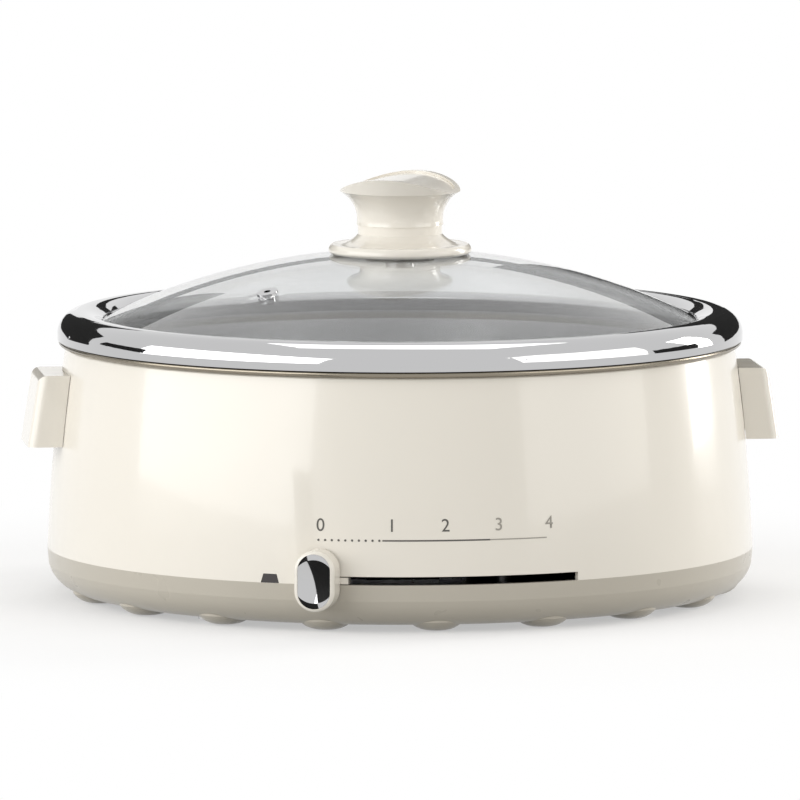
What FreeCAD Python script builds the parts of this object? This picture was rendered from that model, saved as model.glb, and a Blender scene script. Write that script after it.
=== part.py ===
# A round electric hot pot with a lift-off glass lid, in millimetres.
# +Z is up, the front faces -Y, and the origin lies under the pot's axis, on the table.
import FreeCAD, Part
import math
import os
import re
import Sketcher

SIZES = {
    # Upper shell: a tapered round wall that carries the pot by its rim
    "shell_low_r": 165.5, "shell_top_r": 157, "shell_wall": 2.8, "shell_bulge_r": 900,
    "seam_z": 22.6, "shell_top_z": 117, "shell_edge": 1.2,
    # Base shell: a shallow tray on a ring of moulded feet
    "base_floor_in": 14.5, "base_clear": 2.8, "base_wall": 2.5, "base_corner_z": 15,
    "base_corner_r": 16, "base_draft": 0.6, "foot_count": 18, "foot_in": 5.5, "foot_flat_r": 4,
    "foot_r": 13, "foot_edge_r": 11.25, "foot_side_z": 4.5, "foot_top_z": 9,
    # Screw columns that tie the two shells together
    "column_in": 7, "column_r": 5.5, "column_top_z": 50, "rib_thick": 3,
    "base_screw_r": 1.8, "base_screw_len": 18, "base_head_r": 3.4, "head_sink": 0.4,
    "head_thick": 2, "head_slot": 0.8,
    # Slot for the slider, whose ends are its stops, and window for the lamp
    "slider_rest": -19.3, "slider_travel": 37.4, "slot_end_gap": 0.4, "slot_tall": 3.9,
    "window_angle": -27.6, "window_low_w": 9, "window_top_w": 6.6, "window_tall": 4.2,
    "lens_thick": 2, "lens_inset": 0.6,
    # Handles
    "handle_wide": 44, "handle_down": 11, "handle_tall": 33.5, "handle_top_out": 14.5,
    "handle_low_out": 15.8, "handle_end_wall": 3.2, "handle_front_wall": 1.9, "handle_roof": 8,
    "handle_root": 6, "handle_round": 4.5, "handle_screw_y": 12, "handle_screw_down": 4.5,
    "handle_screw_r": 1.6, "handle_screw_len": 12, "handle_head_r": 3,
    # Pot
    "pot_gap": 11, "pot_wall": 2.5, "pot_corner": 25, "pot_low_z": 44, "rim_out": 3, "rim_thick": 2.4,
    # Lid glass, ring and gasket
    "dome_rise": 32, "glass_thick": 3.5, "glass_lap": 4.7, "glass_sink": 0.6,
    "ring_over": 0.6, "ring_wide": 21.3, "ring_crest_in": 9.1, "ring_crest_up": 12.8,
    "ring_side": 3.5, "ring_lip_up": 9.6, "ring_sheet": 0.9, "ring_flange_out": 2.2,
    "ring_slope_r": 18, "ring_nose_r": 10.5, "gasket_thick": 3, "gasket_up": 5,
    # Steam vent
    "vent_from_axis": 93, "vent_angle": -47.7, "vent_bore_r": 1.6, "vent_shank_r": 3, "vent_head_r": 5,
    "vent_head_thick": 1.2, "vent_shank_len": 6,
    # Lid knob
    "knob_foot_r": 33.5, "knob_foot_up": 3.2, "knob_foot_round": 3.5, "knob_sweep_r": 14,
    "knob_waist_r": 19.8, "knob_step_up": 12.4, "knob_step_tall": 4.5, "cup_low_r": 20.4,
    "cup_top_r": 28.2, "cup_flare_up": 28, "cup_flare_r": 15, "cup_up": 35.4, "cup_brow_r": 30.5,
    "cup_arch_r": 55, "cup_arch_turn": -22, "cup_dish": 1, "cup_rim": 2.6,
    "knob_bolt_r": 3, "knob_bolt_up": 12, "bolt_head_r": 7, "bolt_head_thick": 3,
    "washer_r": 16, "washer_thick": 2,
    # Heater under the pot
    "plate_r": 70, "plate_thick": 6, "tube_in": 20, "tube_r": 3.5, "tube_from": 120,
    "tube_sweep": 300, "terminal_r": 1.6, "terminal_len": 9,
    "shield_r": 92, "shield_thick": 0.8, "shield_lip": 5, "shield_gap": 7.7, "post_r": 4,
    "post_in": 12, "cutout_r": 9, "cutout_ring_r": 25, "spacer_r": 4, "spacer_in": 8,
    # Thermostat and its spindle on the pot's axis
    "thermostat_x": 34, "thermostat_y": 28, "thermostat_tall": 12, "bracket_thick": 2,
    "bracket_x": 60, "bracket_y": 20, "shoulder_r": 5.5, "spindle_r": 3,
    "lever_screw_r": 1.5, "lever_screw_len": 6,
    # Slider lever, knob and insert
    "lever_wide": 12, "lever_thick": 3, "lever_eye_r": 9,
    "neck_span": 8, "neck_lead": 0.6, "neck_depth": 6, "knob_wide": 19, "knob_tall": 28.4, "knob_mid_z": 25.3,
    "knob_depth": 12, "knob_round": 2, "insert_wide": 15.2, "insert_tall": 25.4,
    "insert_thick": 2, "insert_dish_r": 42, "insert_dish": 1.2,
    # Mains inlet at the back
    "inlet_z": 40, "inlet_wide": 30, "inlet_tall": 22, "inlet_deep": 20, "mouth_wide": 24,
    "mouth_tall": 15, "mouth_deep": 15, "pad_wide": 58, "pad_tall": 30, "pad_out": 1.5, "pad_thick": 13,
    "flange_wide": 50, "flange_tall": 26, "flange_thick": 3, "pin_r": 2, "pin_step": 7.5,
    "pin_len": 11, "inlet_screw_x": 20.5, "inlet_screw_r": 1.6, "inlet_head_r": 3,
    "inlet_screw_len": 7,
    # Lamp and internal leads
    "lamp_r": 2.5, "lamp_tall": 3, "lead_r": 1.3, "lead_bend": 7,
    # Named clearances
    "seat_gap": 0.3, "skin_gap": 0.05, "slide_gap": 0.35, "screw_gap": 0.1, "run_gap": 0.06,
}
# Sizes that follow from the ones above
TIED = {
    "base_floor_r": "shell_low_r - base_floor_in",
    "foot_ring_r": "base_floor_r - foot_in",
    "column_ring_r": "base_floor_r - column_in",
    "shell_slope": "(shell_low_r - shell_top_r) / (shell_top_z - seam_z)",
    "handle_top_z": "shell_top_z - handle_down",
    "handle_low_z": "handle_top_z - handle_tall",
    "handle_screw_z": "handle_top_z - handle_screw_down",
    "handle_top_x": "shell_top_r + handle_top_out",
    "handle_low_x": "shell_top_r + (shell_top_z - handle_low_z) * shell_slope + handle_low_out",
    "handle_hollow_x": "handle_top_x - handle_front_wall",
    "pot_r": "shell_top_r - pot_gap",
    "rim_r": "shell_top_r + rim_out",
    "ring_low_z": "shell_top_z + seat_gap + rim_thick + seat_gap",
    "ring_out_r": "rim_r + ring_over",
    "ring_crest_r": "ring_out_r - ring_crest_in",
    "ring_in_r": "ring_out_r - ring_wide",
    "ring_flange_r": "ring_in_r + ring_flange_out",
    "ring_shoulder_z": "ring_low_z + ring_side",
    "ring_lip_z": "ring_low_z + ring_lip_up",
    "ring_crest_z": "ring_low_z + ring_crest_up",
    "glass_r": "ring_in_r + glass_lap",
    "glass_ball_r": "(ring_in_r ^ 2 + dome_rise ^ 2) / (2 * dome_rise)",
    "glass_top_z": "ring_lip_z - glass_sink + dome_rise",
    "knob_foot_z": "glass_top_z + knob_foot_up",
    "knob_step_z": "glass_top_z + knob_step_up",
    "cup_flare_z": "glass_top_z + cup_flare_up",
    "cup_top_z": "glass_top_z + cup_up",
    "tube_ring_r": "plate_r - tube_in",
    "spacer_ring_r": "plate_r - spacer_in",
    "post_ring_r": "shield_r - post_in",
    "pad_y": "shell_low_r + pad_out",
}

doc = FreeCAD.newDocument("HotPot")
sheet = doc.addObject("Spreadsheet::Sheet", "Sizes")
TIED_CELLS = {word: "=" + text for word, text in TIED.items()}
for row, (word, size) in enumerate((SIZES | TIED_CELLS).items(), start=1):
    sheet.set(f"A{row}", word)
    sheet.set(f"B{row}", str(size))
    sheet.setAlias(f"B{row}", word)
doc.recompute()


def formula(text):
    """An expression over the sheet's names, as the document wants it."""
    known = SIZES.keys() | TIED.keys()
    return re.sub(r"[a-z_]+", lambda m: "Sizes." + m[0] if m[0] in known else m[0], str(text))


def number(text):
    """The present value of such an expression."""
    return float(sheet.evalExpression(formula(text)))


def bind(item, **properties):
    """Tie an object's properties to expressions."""
    for name, text in properties.items():
        item.setExpression(name, formula(text))
    return item


def place(item, x=0, y=0, z=0, axis=None, turn=0):
    """Tie an object's place to expressions, turned about an axis through that place."""
    if axis:
        item.Placement = FreeCAD.Placement(FreeCAD.Vector(), FreeCAD.Rotation(FreeCAD.Vector(*axis), 1))
        item.setExpression("Placement.Rotation.Angle", formula(turn))
    for name, text in (("x", x), ("y", y), ("z", z)):
        item.setExpression("Placement.Base." + name, formula(text))
    return item


def cylinder(name, radius, height, sweep=360, **where):
    item = doc.addObject("Part::Cylinder", name)
    bind(item, Radius=radius, Height=height, Angle=sweep)
    return place(item, **where)


def box(name, length, width, height, x, y, z):
    """A box whose x and y are its middle and z is its underside."""
    item = doc.addObject("Part::Box", name)
    bind(item, Length=length, Width=width, Height=height)
    return place(item, f"{x} - ({length}) / 2", f"{y} - ({width}) / 2", z)


def join(name, pieces):
    item = doc.addObject("Part::MultiFuse", name)
    item.Shapes = pieces
    return item


def cut(name, base, tools):
    item = doc.addObject("Part::Cut", name)
    item.Base = base
    item.Tool = tools[0] if len(tools) == 1 else join(name + "_tools", tools)
    return item


def copy_at(name, source, **where):
    """A second copy of a piece at a place of its own."""
    item = doc.addObject("Part::Compound", name)
    item.Links = [source]
    return place(item, **where)


def origin_plane(body, role):
    return next(o for o in body.Origin.OriginFeatures if o.Role == role)


def tie_point(sketch, side, end, x, y):
    """Hold one end of a side at (x, y); a zero puts it on the sketch's own axis."""
    for kind, axis, text in (("DistanceX", -2, x), ("DistanceY", -1, y)):
        if str(text) == "0":
            sketch.addConstraint(Sketcher.Constraint("PointOnObject", side, end, axis))
            continue
        row = sketch.addConstraint(Sketcher.Constraint(kind, -1, 1, side, end, number(text)))
        sketch.setExpression(f"Constraints[{row}]", formula(text))


def outline(body, name, points, arcs=(), plane="XZ_Plane", offset=0):
    """A closed sketch through points; arcs maps a side to its radius, above zero to bulge left."""
    sketch = body.newObject("Sketcher::SketchObject", name)
    sketch.AttachmentSupport = [(origin_plane(body, plane), "")]
    sketch.MapMode = "FlatFace"
    if offset:
        sketch.setExpression("AttachmentOffset.Base.z", formula(offset))
    arcs = dict(arcs)
    spots = [FreeCAD.Vector(number(x), number(y), 0) for x, y in points]
    starts = []
    for i, a in enumerate(spots):
        b = spots[(i + 1) % len(spots)]
        if i not in arcs:
            sketch.addGeometry(Part.LineSegment(a, b), False)
            starts.append((1, 2))
            continue
        radius = number(arcs[i])
        half = (b - a).Length / 2
        left = FreeCAD.Vector(a.y - b.y, b.x - a.x, 0).normalize() * math.copysign(1, radius)
        sag = abs(radius) - math.sqrt(max(radius * radius - half * half, 0))
        sketch.addGeometry(Part.Arc(a, (a + b) / 2 + left * sag, b), False)
        starts.append((2, 1) if radius > 0 else (1, 2))
    for i, (x, y) in enumerate(points):
        before = (i - 1) % len(points)
        sketch.addConstraint(Sketcher.Constraint("Coincident", before, starts[before][1], i, starts[i][0]))
        tie_point(sketch, i, starts[i][0], x, y)
    for i, radius in arcs.items():
        row = sketch.addConstraint(Sketcher.Constraint("Radius", i, abs(number(radius))))
        sketch.setExpression(f"Constraints[{row}]", formula(f"abs({radius})"))
    return sketch


def turned(name, points, arcs=()):
    """A body of revolution about Z."""
    body = doc.addObject("PartDesign::Body", name)
    sketch = outline(body, name + "_outline", points, arcs)
    solid = body.newObject("PartDesign::Revolution", name + "_turn")
    solid.Profile = sketch
    solid.ReferenceAxis = (sketch, ["V_Axis"])
    solid.Angle = 360
    return body


def screw(name, radius, length, head_r, x, y, z, axis=None, turn=0):
    """A pan-head screw with a cross recess: its head's underside at the given place, shank along +Z."""
    shank = cylinder(name + "_shank", radius, length)
    head = cylinder(name + "_head", head_r, "head_thick", z="0 - head_thick")
    slots = [
        box(f"{name}_slot_{i}", wide, deep, "head_thick / 2", "0", "0", "0 - head_thick")
        for i, (wide, deep) in enumerate(((head_r, "head_slot"), ("head_slot", head_r)))
    ]
    return place(cut(name, join(name + "_blank", [shank, head]), slots), x, y, z, axis, turn)


def polar(radius, angle):
    """The x and y, as expressions, of a place by its radius and its angle from the front."""
    return f"({radius}) * sin({angle})", f"0 - ({radius}) * cos({angle})"


FLOOR = "(base_clear + base_wall)"
COLUMN_ANGLES = (45, 135, 225, 315)


def shell_form(name, inset):
    """The solid inside the shell's outer face, drawn in by a gap."""
    low, top = f"shell_low_r - ({inset})", f"shell_top_r - ({inset})"
    return turned(name, [("0", "seam_z"), (low, "seam_z"), (top, "shell_top_z"), ("0", "shell_top_z")],
                  {1: "-shell_bulge_r"})


def make_upper_shell():
    wall = turned("shell_wall_body", [
        ("shell_low_r - shell_wall", "seam_z"), ("shell_low_r", "seam_z"),
        ("shell_top_r", "shell_top_z - shell_edge"), ("shell_top_r - shell_edge", "shell_top_z"),
        ("shell_top_r - shell_wall", "shell_top_z"),
    ], {1: "-shell_bulge_r", 2: "-shell_edge", 4: "shell_bulge_r"})
    columns = []
    for i, angle in enumerate(COLUMN_ANGLES):
        x, y = polar("column_ring_r", angle)
        columns.append(cylinder(f"column_{i}", "column_r", f"column_top_z - {FLOOR}", x=x, y=y, z=FLOOR))
        rib = bind(doc.addObject("Part::Box", f"column_rib_{i}"), Length="shell_low_r - column_ring_r",
                   Width="rib_thick", Height="column_top_z - seam_z - seat_gap")
        rx, ry = f"cos({angle}) * rib_thick / 2", f"sin({angle}) * rib_thick / 2"
        columns.append(place(rib, f"{x} + {rx}", f"{y} + {ry}", "seam_z + seat_gap",
                             (0, 0, 1), f"{angle} - 90"))
    inside = doc.addObject("Part::Common", "columns_inside")
    inside.Base = join("columns", columns)
    inside.Tool = join("column_space", [
        shell_form("column_form", "shell_wall / 2"),
        cylinder("column_low", "base_floor_r + base_wall", "seam_z"),
    ])
    pad = box("inlet_pad", "pad_wide", "pad_thick", "pad_tall",
              "0", "pad_y - pad_thick / 2", "inlet_z - pad_tall / 2")
    pad_back = cut("inlet_pad_back", pad, [shell_form("pad_form", "shell_wall / 2")])
    tools = [
        cylinder("slot_cutter", "shell_low_r * 1.1", "slot_tall",
                 "slider_travel + neck_span + 2 * slot_end_gap", z="seam_z",
                 axis=(0, 0, 1), turn="270 + slider_rest + neck_lead - neck_span / 2 - slot_end_gap"),
        lens("window_cutter", "shell_low_r - shell_wall * 2", "shell_wall * 3"),
        box("inlet_hole", "inlet_wide + 2 * screw_gap", "pad_thick * 4", "inlet_tall + 2 * screw_gap",
            "0", "pad_y", "inlet_z - inlet_tall / 2 - screw_gap"),
    ]
    for i, angle in enumerate(COLUMN_ANGLES):
        x, y = polar("column_ring_r", angle)
        tools.append(cylinder(f"column_bore_{i}", "base_screw_r + screw_gap", "base_screw_len",
                              x=x, y=y, z="base_clear"))
    for side in (-1, 1):
        for y in (-1, 1):
            tools.append(cylinder(f"shell_handle_bore_{side}_{y}", "handle_screw_r + screw_gap",
                                  "pot_gap * 3", x=f"{side} * pot_r", y=f"{y} * handle_screw_y",
                                  z="handle_screw_z", axis=(0, 1, 0), turn=f"{side} * 90"))
    for side in (-1, 1):
        tools.append(cylinder(f"pad_bore_{side}", "inlet_screw_r + screw_gap", "inlet_screw_len + 1",
                              x=f"{side} * inlet_screw_x", y="pad_y", z="inlet_z",
                              axis=(1, 0, 0), turn="90"))
    return cut("upper_shell", join("shell_blank", [wall, inside, pad_back]), tools)


def lens(name, start, thick):
    """The lamp window's trapezoid at the seam, from a distance off the axis and outwards."""
    body = doc.addObject("PartDesign::Body", name)
    sketch = outline(body, name + "_outline", [
        ("0 - window_low_w / 2", "seam_z"), ("window_low_w / 2", "seam_z"),
        ("window_top_w / 2", "seam_z + window_tall"), ("0 - window_top_w / 2", "seam_z + window_tall"),
    ], offset=start)
    block = body.newObject("PartDesign::Pad", name + "_pad")
    block.Profile = sketch
    bind(block, Length=thick)
    return place(body, axis=(0, 0, 1), turn="window_angle")


def make_base_shell():
    tray = turned("tray", [
        ("0", "base_clear"), ("base_floor_r", "base_clear"), ("shell_low_r - base_draft", "base_corner_z"),
        ("shell_low_r", "seam_z"), ("0", "seam_z"),
    ], {1: "-base_corner_r"})
    foot = doc.addObject("PartDesign::Body", "foot")
    half = outline(foot, "foot_outline", [
        ("0", "0"), ("foot_flat_r", "0"), ("foot_r", "foot_side_z"), ("foot_r", "foot_top_z"),
        ("0", "foot_top_z"),
    ], {1: "-foot_edge_r"})
    solid = foot.newObject("PartDesign::Revolution", "foot_turn")
    solid.Profile = half
    solid.ReferenceAxis = (half, ["V_Axis"])
    feet = []
    for i in range(int(SIZES["foot_count"])):
        x, y = polar("foot_ring_r", f"{i} * 360 / foot_count")
        feet.append(copy_at(f"foot_{i}", foot, x=x, y=y))
    hollow = turned("tray_hollow", [
        ("0", FLOOR), ("base_floor_r - base_wall / 2", FLOOR),
        ("shell_low_r - base_wall - base_draft", "base_corner_z + base_wall / 2"),
        ("shell_low_r - base_wall", "seam_z"), ("0", "seam_z"),
    ], {1: "-base_corner_r"})
    tools = [hollow]
    for i, angle in enumerate(COLUMN_ANGLES):
        x, y = polar("column_ring_r", angle)
        tools.append(cylinder(f"floor_bore_{i}", "base_screw_r + screw_gap", FLOOR, x=x, y=y, z="0"))
        tools.append(cylinder(f"floor_sink_{i}", "base_head_r + 2 * screw_gap", "base_clear + head_sink",
                              x=x, y=y, z="0"))
    return cut("base_shell", join("base_blank", [tray] + feet), tools)


def make_handle(name, turn):
    """One ear: a leaning block that is hollow from below for the fingers."""
    body = doc.addObject("PartDesign::Body", name + "_block")
    side = outline(body, name + "_side", [
        ("shell_top_r - handle_root", "handle_low_z"), ("handle_low_x", "handle_low_z"),
        ("handle_top_x", "handle_top_z"), ("shell_top_r - handle_root", "handle_top_z"),
    ])
    block = body.newObject("PartDesign::Pad", name + "_pad")
    block.Profile = side
    block.Midplane = True
    bind(block, Length="handle_wide")
    doc.recompute()
    outer = number("(handle_low_x + shell_top_r) / 2")
    rounded = [f"Edge{i}" for i, e in enumerate(block.Shape.Edges, 1)
               if e.CenterOfMass.x > outer - 3 and e.CenterOfMass.z > number("handle_low_z") + 1]
    fillet = body.newObject("PartDesign::Fillet", name + "_round")
    fillet.Base = (block, rounded)
    bind(fillet, Radius="handle_round")
    hollow = box(name + "_hollow", "handle_hollow_x - shell_top_r + handle_root",
                 "handle_wide - 2 * handle_end_wall", "handle_tall - handle_roof",
                 "(handle_hollow_x + shell_top_r - handle_root) / 2", "0", "handle_low_z")
    bores = [cylinder(f"{name}_bore_{y}", "handle_screw_r + screw_gap", "handle_screw_len + handle_root",
                      x="shell_top_r - handle_root", y=f"{y} * handle_screw_y",
                      z="handle_screw_z", axis=(0, 1, 0), turn="90") for y in (-1, 1)]
    trimmed = cut(name, body, [shell_form(name + "_form", "0 - skin_gap"), hollow] + bores)
    return place(trimmed, axis=(0, 0, 1), turn=turn)


def make_screws():
    pieces = []
    for i, angle in enumerate(COLUMN_ANGLES):
        x, y = polar("column_ring_r", angle)
        pieces.append(screw(f"base_screw_{i + 1}", "base_screw_r", "base_screw_len - 1",
                            "base_head_r", x, y, "base_clear + head_sink"))
    seat = "sqrt((shell_top_r - shell_wall + (shell_top_z - handle_screw_z) * shell_slope) ^ 2"
    seat += " - (handle_screw_y + handle_head_r) ^ 2) - seat_gap"
    for side, word in ((-1, "left"), (1, "right")):
        for y in (-1, 1):
            pieces.append(screw(f"{word}_handle_screw_{(y + 3) // 2}", "handle_screw_r",
                                "handle_screw_len", "handle_head_r", f"{side} * ({seat})",
                                f"{y} * handle_screw_y", "handle_screw_z", (0, 1, 0), f"{side} * 90"))
    for side in (-1, 1):
        pieces.append(screw(f"inlet_screw_{(side + 3) // 2}", "inlet_screw_r",
                            "inlet_screw_len + flange_thick", "inlet_head_r",
                            f"{side} * inlet_screw_x", "pad_y + flange_thick", "inlet_z",
                            (1, 0, 0), "90"))
    return pieces


def make_pot():
    rim_low = "(ring_low_z - seat_gap - rim_thick)"
    inner = "pot_r - pot_wall"
    return turned("inner_pot", [
        ("0", "pot_low_z"), ("pot_r - pot_corner", "pot_low_z"), ("pot_r", "pot_low_z + pot_corner"),
        ("pot_r", rim_low), ("rim_r - rim_thick / 2", rim_low),
        ("rim_r - rim_thick / 2", f"{rim_low} + rim_thick"), (inner, f"{rim_low} + rim_thick"),
        (inner, "pot_low_z + pot_corner"), ("pot_r - pot_corner", "pot_low_z + pot_wall"),
        ("0", "pot_low_z + pot_wall"),
    ], {1: "-pot_corner", 4: "-(rim_thick / 2 + 0.001)", 7: "pot_corner - pot_wall"})


def dome_z(radius, drop="0"):
    """The height of the glass's outer face, or of one that lies a drop under it, at a radius."""
    ball = f"(glass_ball_r - ({drop}))"
    return f"(glass_top_z - glass_ball_r + sqrt({ball} ^ 2 - ({radius}) ^ 2))"


def vent_place(drop):
    """The vent's place on the glass, as x, y and z, a drop under its outer face."""
    lean = "asin(vent_from_axis / glass_ball_r)"
    x, y = polar(f"(glass_ball_r - ({drop})) * sin({lean})", "vent_angle")
    return x, y, f"glass_top_z - glass_ball_r + (glass_ball_r - ({drop})) * cos({lean})"


def vent_cylinder(name, radius, height, drop):
    """A cylinder standing square to the glass at the vent, its foot a drop under the outer face."""
    x, y, z = vent_place(drop)
    angle = math.radians(number("vent_angle"))
    return cylinder(name, radius, height, x=x, y=y, z=z, axis=(math.cos(angle), math.sin(angle), 0),
                    turn="asin(vent_from_axis / glass_ball_r)")


def make_lid():
    dome = turned("glass_dome", [
        ("0", "glass_top_z - glass_thick"), ("glass_r", dome_z("glass_r", "glass_thick")),
        ("glass_r", dome_z("glass_r")), ("0", "glass_top_z"),
    ], {0: "glass_ball_r - glass_thick", 2: "-glass_ball_r"})
    glass = cut("lid_glass", dome, [
        cylinder("glass_bore", "knob_bolt_r + screw_gap", "glass_thick * 2", z="glass_top_z - glass_thick * 1.5"),
        vent_cylinder("glass_vent_bore", "vent_shank_r + screw_gap", "glass_thick * 3", "glass_thick * 2"),
    ])
    ring = turned("lid_ring", [
        ("ring_in_r", "ring_lip_z"), ("ring_crest_r", "ring_crest_z"),
        ("ring_out_r", "ring_shoulder_z"), ("ring_out_r", "ring_low_z"),
        ("ring_flange_r", "ring_low_z"), ("ring_flange_r", "ring_low_z + ring_sheet"),
        ("ring_out_r - ring_sheet", "ring_low_z + ring_sheet"),
        ("ring_out_r - ring_sheet", "ring_shoulder_z"), ("ring_crest_r", "ring_crest_z - ring_sheet"),
        ("ring_in_r", dome_z("ring_in_r") + " + skin_gap"),
    ], {0: "ring_slope_r", 1: "ring_nose_r", 7: "ring_sheet - ring_nose_r", 8: "-ring_slope_r"})
    gasket = turned("lid_gasket", [
        ("glass_r + skin_gap", "ring_low_z + ring_sheet"),
        ("glass_r + gasket_thick", "ring_low_z + ring_sheet"),
        ("glass_r + gasket_thick", "ring_low_z + ring_sheet + gasket_up"),
        ("glass_r + skin_gap", "ring_low_z + ring_sheet + gasket_up"),
    ])
    eyelet = cut("vent_eyelet", join("eyelet_blank", [
        vent_cylinder("eyelet_shank", "vent_shank_r", "vent_shank_len", "vent_shank_len"),
        vent_cylinder("eyelet_head", "vent_head_r", "vent_head_thick", "0 - seat_gap / 2"),
        vent_cylinder("eyelet_neck", "vent_shank_r", "seat_gap", "0"),
    ]), [vent_cylinder("eyelet_bore", "vent_bore_r", "vent_shank_len * 3", "vent_shank_len * 1.5")])
    return [glass, ring, gasket, eyelet]


def make_lid_knob():
    foot = turned("knob_foot", [
        ("0", "glass_top_z + skin_gap"),
        ("knob_foot_r - 2", dome_z("knob_foot_r - 2", "0 - skin_gap")),
        ("knob_foot_r", "glass_top_z - 0.2"), ("knob_foot_r - 1.5", "knob_foot_z"),
        ("knob_waist_r", "knob_step_z - knob_step_tall"), ("knob_waist_r", "knob_step_z"), ("0", "knob_step_z"),
    ], {0: "glass_ball_r + skin_gap", 1: "-knob_foot_round", 2: "-knob_foot_round", 3: "knob_sweep_r"})
    bolt_bore = ["knob_bolt_r + screw_gap", "knob_step_z - glass_top_z + knob_bolt_up"]
    base = cut("knob_base", foot, [cylinder("foot_bore", *bolt_bore, z="glass_top_z - 1")])
    flare = turned("cup_flare", [
        ("0", "knob_step_z"), ("cup_low_r", "knob_step_z"), ("cup_top_r", "cup_flare_z"),
        ("cup_brow_r", "cup_top_z + cup_dish"), ("0", "cup_top_z + cup_dish"),
    ], {1: "cup_flare_r"})
    arched = doc.addObject("Part::Common", "cup_arched")
    arched.Base = flare
    arched.Tool = arch("cup_arch", "0")
    dish_form = doc.addObject("Part::Cut", "cup_dish_form")
    dish_form.Base = cylinder("cup_dish_round", "cup_top_r - cup_rim", "20", z="cup_top_z - 14")
    dish_form.Tool = arch("cup_dish_arch", "cup_dish")
    cup = cut("knob_cup", arched, [dish_form, cylinder("cup_bore", "knob_bolt_r + screw_gap",
                                                       "knob_bolt_up", z="knob_step_z")])
    head_top = dome_z("washer_r", "glass_thick") + " - washer_thick - skin_gap"
    washer = cut("knob_washer", cylinder("washer_disc", "washer_r", "washer_thick", z=head_top),
                 [cylinder("washer_bore", "knob_bolt_r + screw_gap", "washer_thick", z=head_top)])
    bolt = join("knob_bolt", [
        cylinder("bolt_head", "bolt_head_r", "bolt_head_thick", z=f"{head_top} - bolt_head_thick"),
        cylinder("bolt_shank", "knob_bolt_r", f"knob_step_z + knob_bolt_up - 1 - ({head_top})", z=head_top),
    ])
    return [base, cup, washer, bolt]


def arch(name, drop):
    """A lying cylinder whose crown is the knob's arched top, or a drop under it."""
    item = doc.addObject("Part::Cylinder", name)
    bind(item, Radius=f"cup_arch_r - {drop}", Height="200")
    turn = math.radians(number("cup_arch_turn"))
    along = FreeCAD.Vector(-math.sin(turn), math.cos(turn), 0)
    item.Placement = FreeCAD.Placement(FreeCAD.Vector(), FreeCAD.Rotation(FreeCAD.Vector(0, 0, 1), along))
    for axis, part in (("x", -along.x), ("y", -along.y)):
        item.setExpression("Placement.Base." + axis, formula(f"100 * ({part})"))
    item.setExpression("Placement.Base.z", formula("cup_top_z - cup_arch_r"))
    return item


PLATE_LOW = "(pot_low_z - plate_thick)"
SHIELD_TOP = "(pot_low_z - plate_thick - shield_gap)"


def make_heater():
    plate = cylinder("heater_plate", "plate_r", "plate_thick", z=PLATE_LOW)
    ring = doc.addObject("Part::Torus", "tube_ring")
    bind(ring, Radius1="tube_ring_r", Radius2="tube_r", Angle3="tube_sweep")
    place(ring, z=f"{PLATE_LOW} - tube_r", axis=(0, 0, 1), turn="tube_from")
    ends = []
    for i, angle in enumerate(("tube_from", "tube_from + tube_sweep")):
        ends.append(cylinder(f"tube_end_{i}", "terminal_r", "terminal_len",
                             x=f"tube_ring_r * cos({angle})", y=f"tube_ring_r * sin({angle})",
                             z=f"{PLATE_LOW} - tube_r - terminal_len"))
    tube = join("heater_tube", [ring] + ends)
    pan = join("shield_blank", [
        cylinder("shield_disc", "shield_r", "shield_thick", z=f"{SHIELD_TOP} - shield_thick"),
        cylinder("shield_wall", "shield_r", "shield_lip", z=SHIELD_TOP),
    ])
    holes = [cylinder(f"shield_hole_{i}", "terminal_r + 1", "20",
                      x=f"tube_ring_r * cos({angle})", y=f"tube_ring_r * sin({angle})",
                      z=f"{SHIELD_TOP} - 10") for i, angle in enumerate(("tube_from", "tube_from + tube_sweep"))]
    shield = cut("heat_shield", pan, [
        cylinder("shield_space", "shield_r - shield_thick", "shield_lip", z=SHIELD_TOP)] + holes)
    pieces = [plate, tube, shield]
    for i in range(3):
        x, y = polar("post_ring_r", f"30 + 120 * {i}")
        pieces.append(cylinder(f"shield_post_{i + 1}", "post_r", f"{SHIELD_TOP} - shield_thick - {FLOOR}",
                               x=x, y=y, z=FLOOR))
        x, y = polar("spacer_ring_r", f"60 + 120 * {i}")
        pieces.append(cylinder(f"plate_spacer_{i + 1}", "spacer_r", f"{PLATE_LOW} - {SHIELD_TOP}",
                               x=x, y=y, z=SHIELD_TOP))
    x, y = polar("cutout_ring_r", "180")
    pieces.append(cylinder("thermal_cutout", "cutout_r", f"{PLATE_LOW} - {SHIELD_TOP}", x=x, y=y,
                           z=SHIELD_TOP))
    return pieces


LEVER_LOW = "(seam_z + (slot_tall - lever_thick) / 2)"
HOUSING_TOP = f"({FLOOR} + bracket_thick + thermostat_tall)"


def make_thermostat():
    bracket = box("thermostat_bracket", "bracket_x", "bracket_y", "bracket_thick", "0", "0", FLOOR)
    housing = cut("thermostat_housing",
                  box("housing_block", "thermostat_x", "thermostat_y", "thermostat_tall", "0", "0",
                      f"{FLOOR} + bracket_thick"),
                  [cylinder("spindle_bore", "spindle_r + run_gap", "thermostat_tall / 2",
                            z=f"{HOUSING_TOP} - thermostat_tall / 2")])
    return [bracket, housing]


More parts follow.
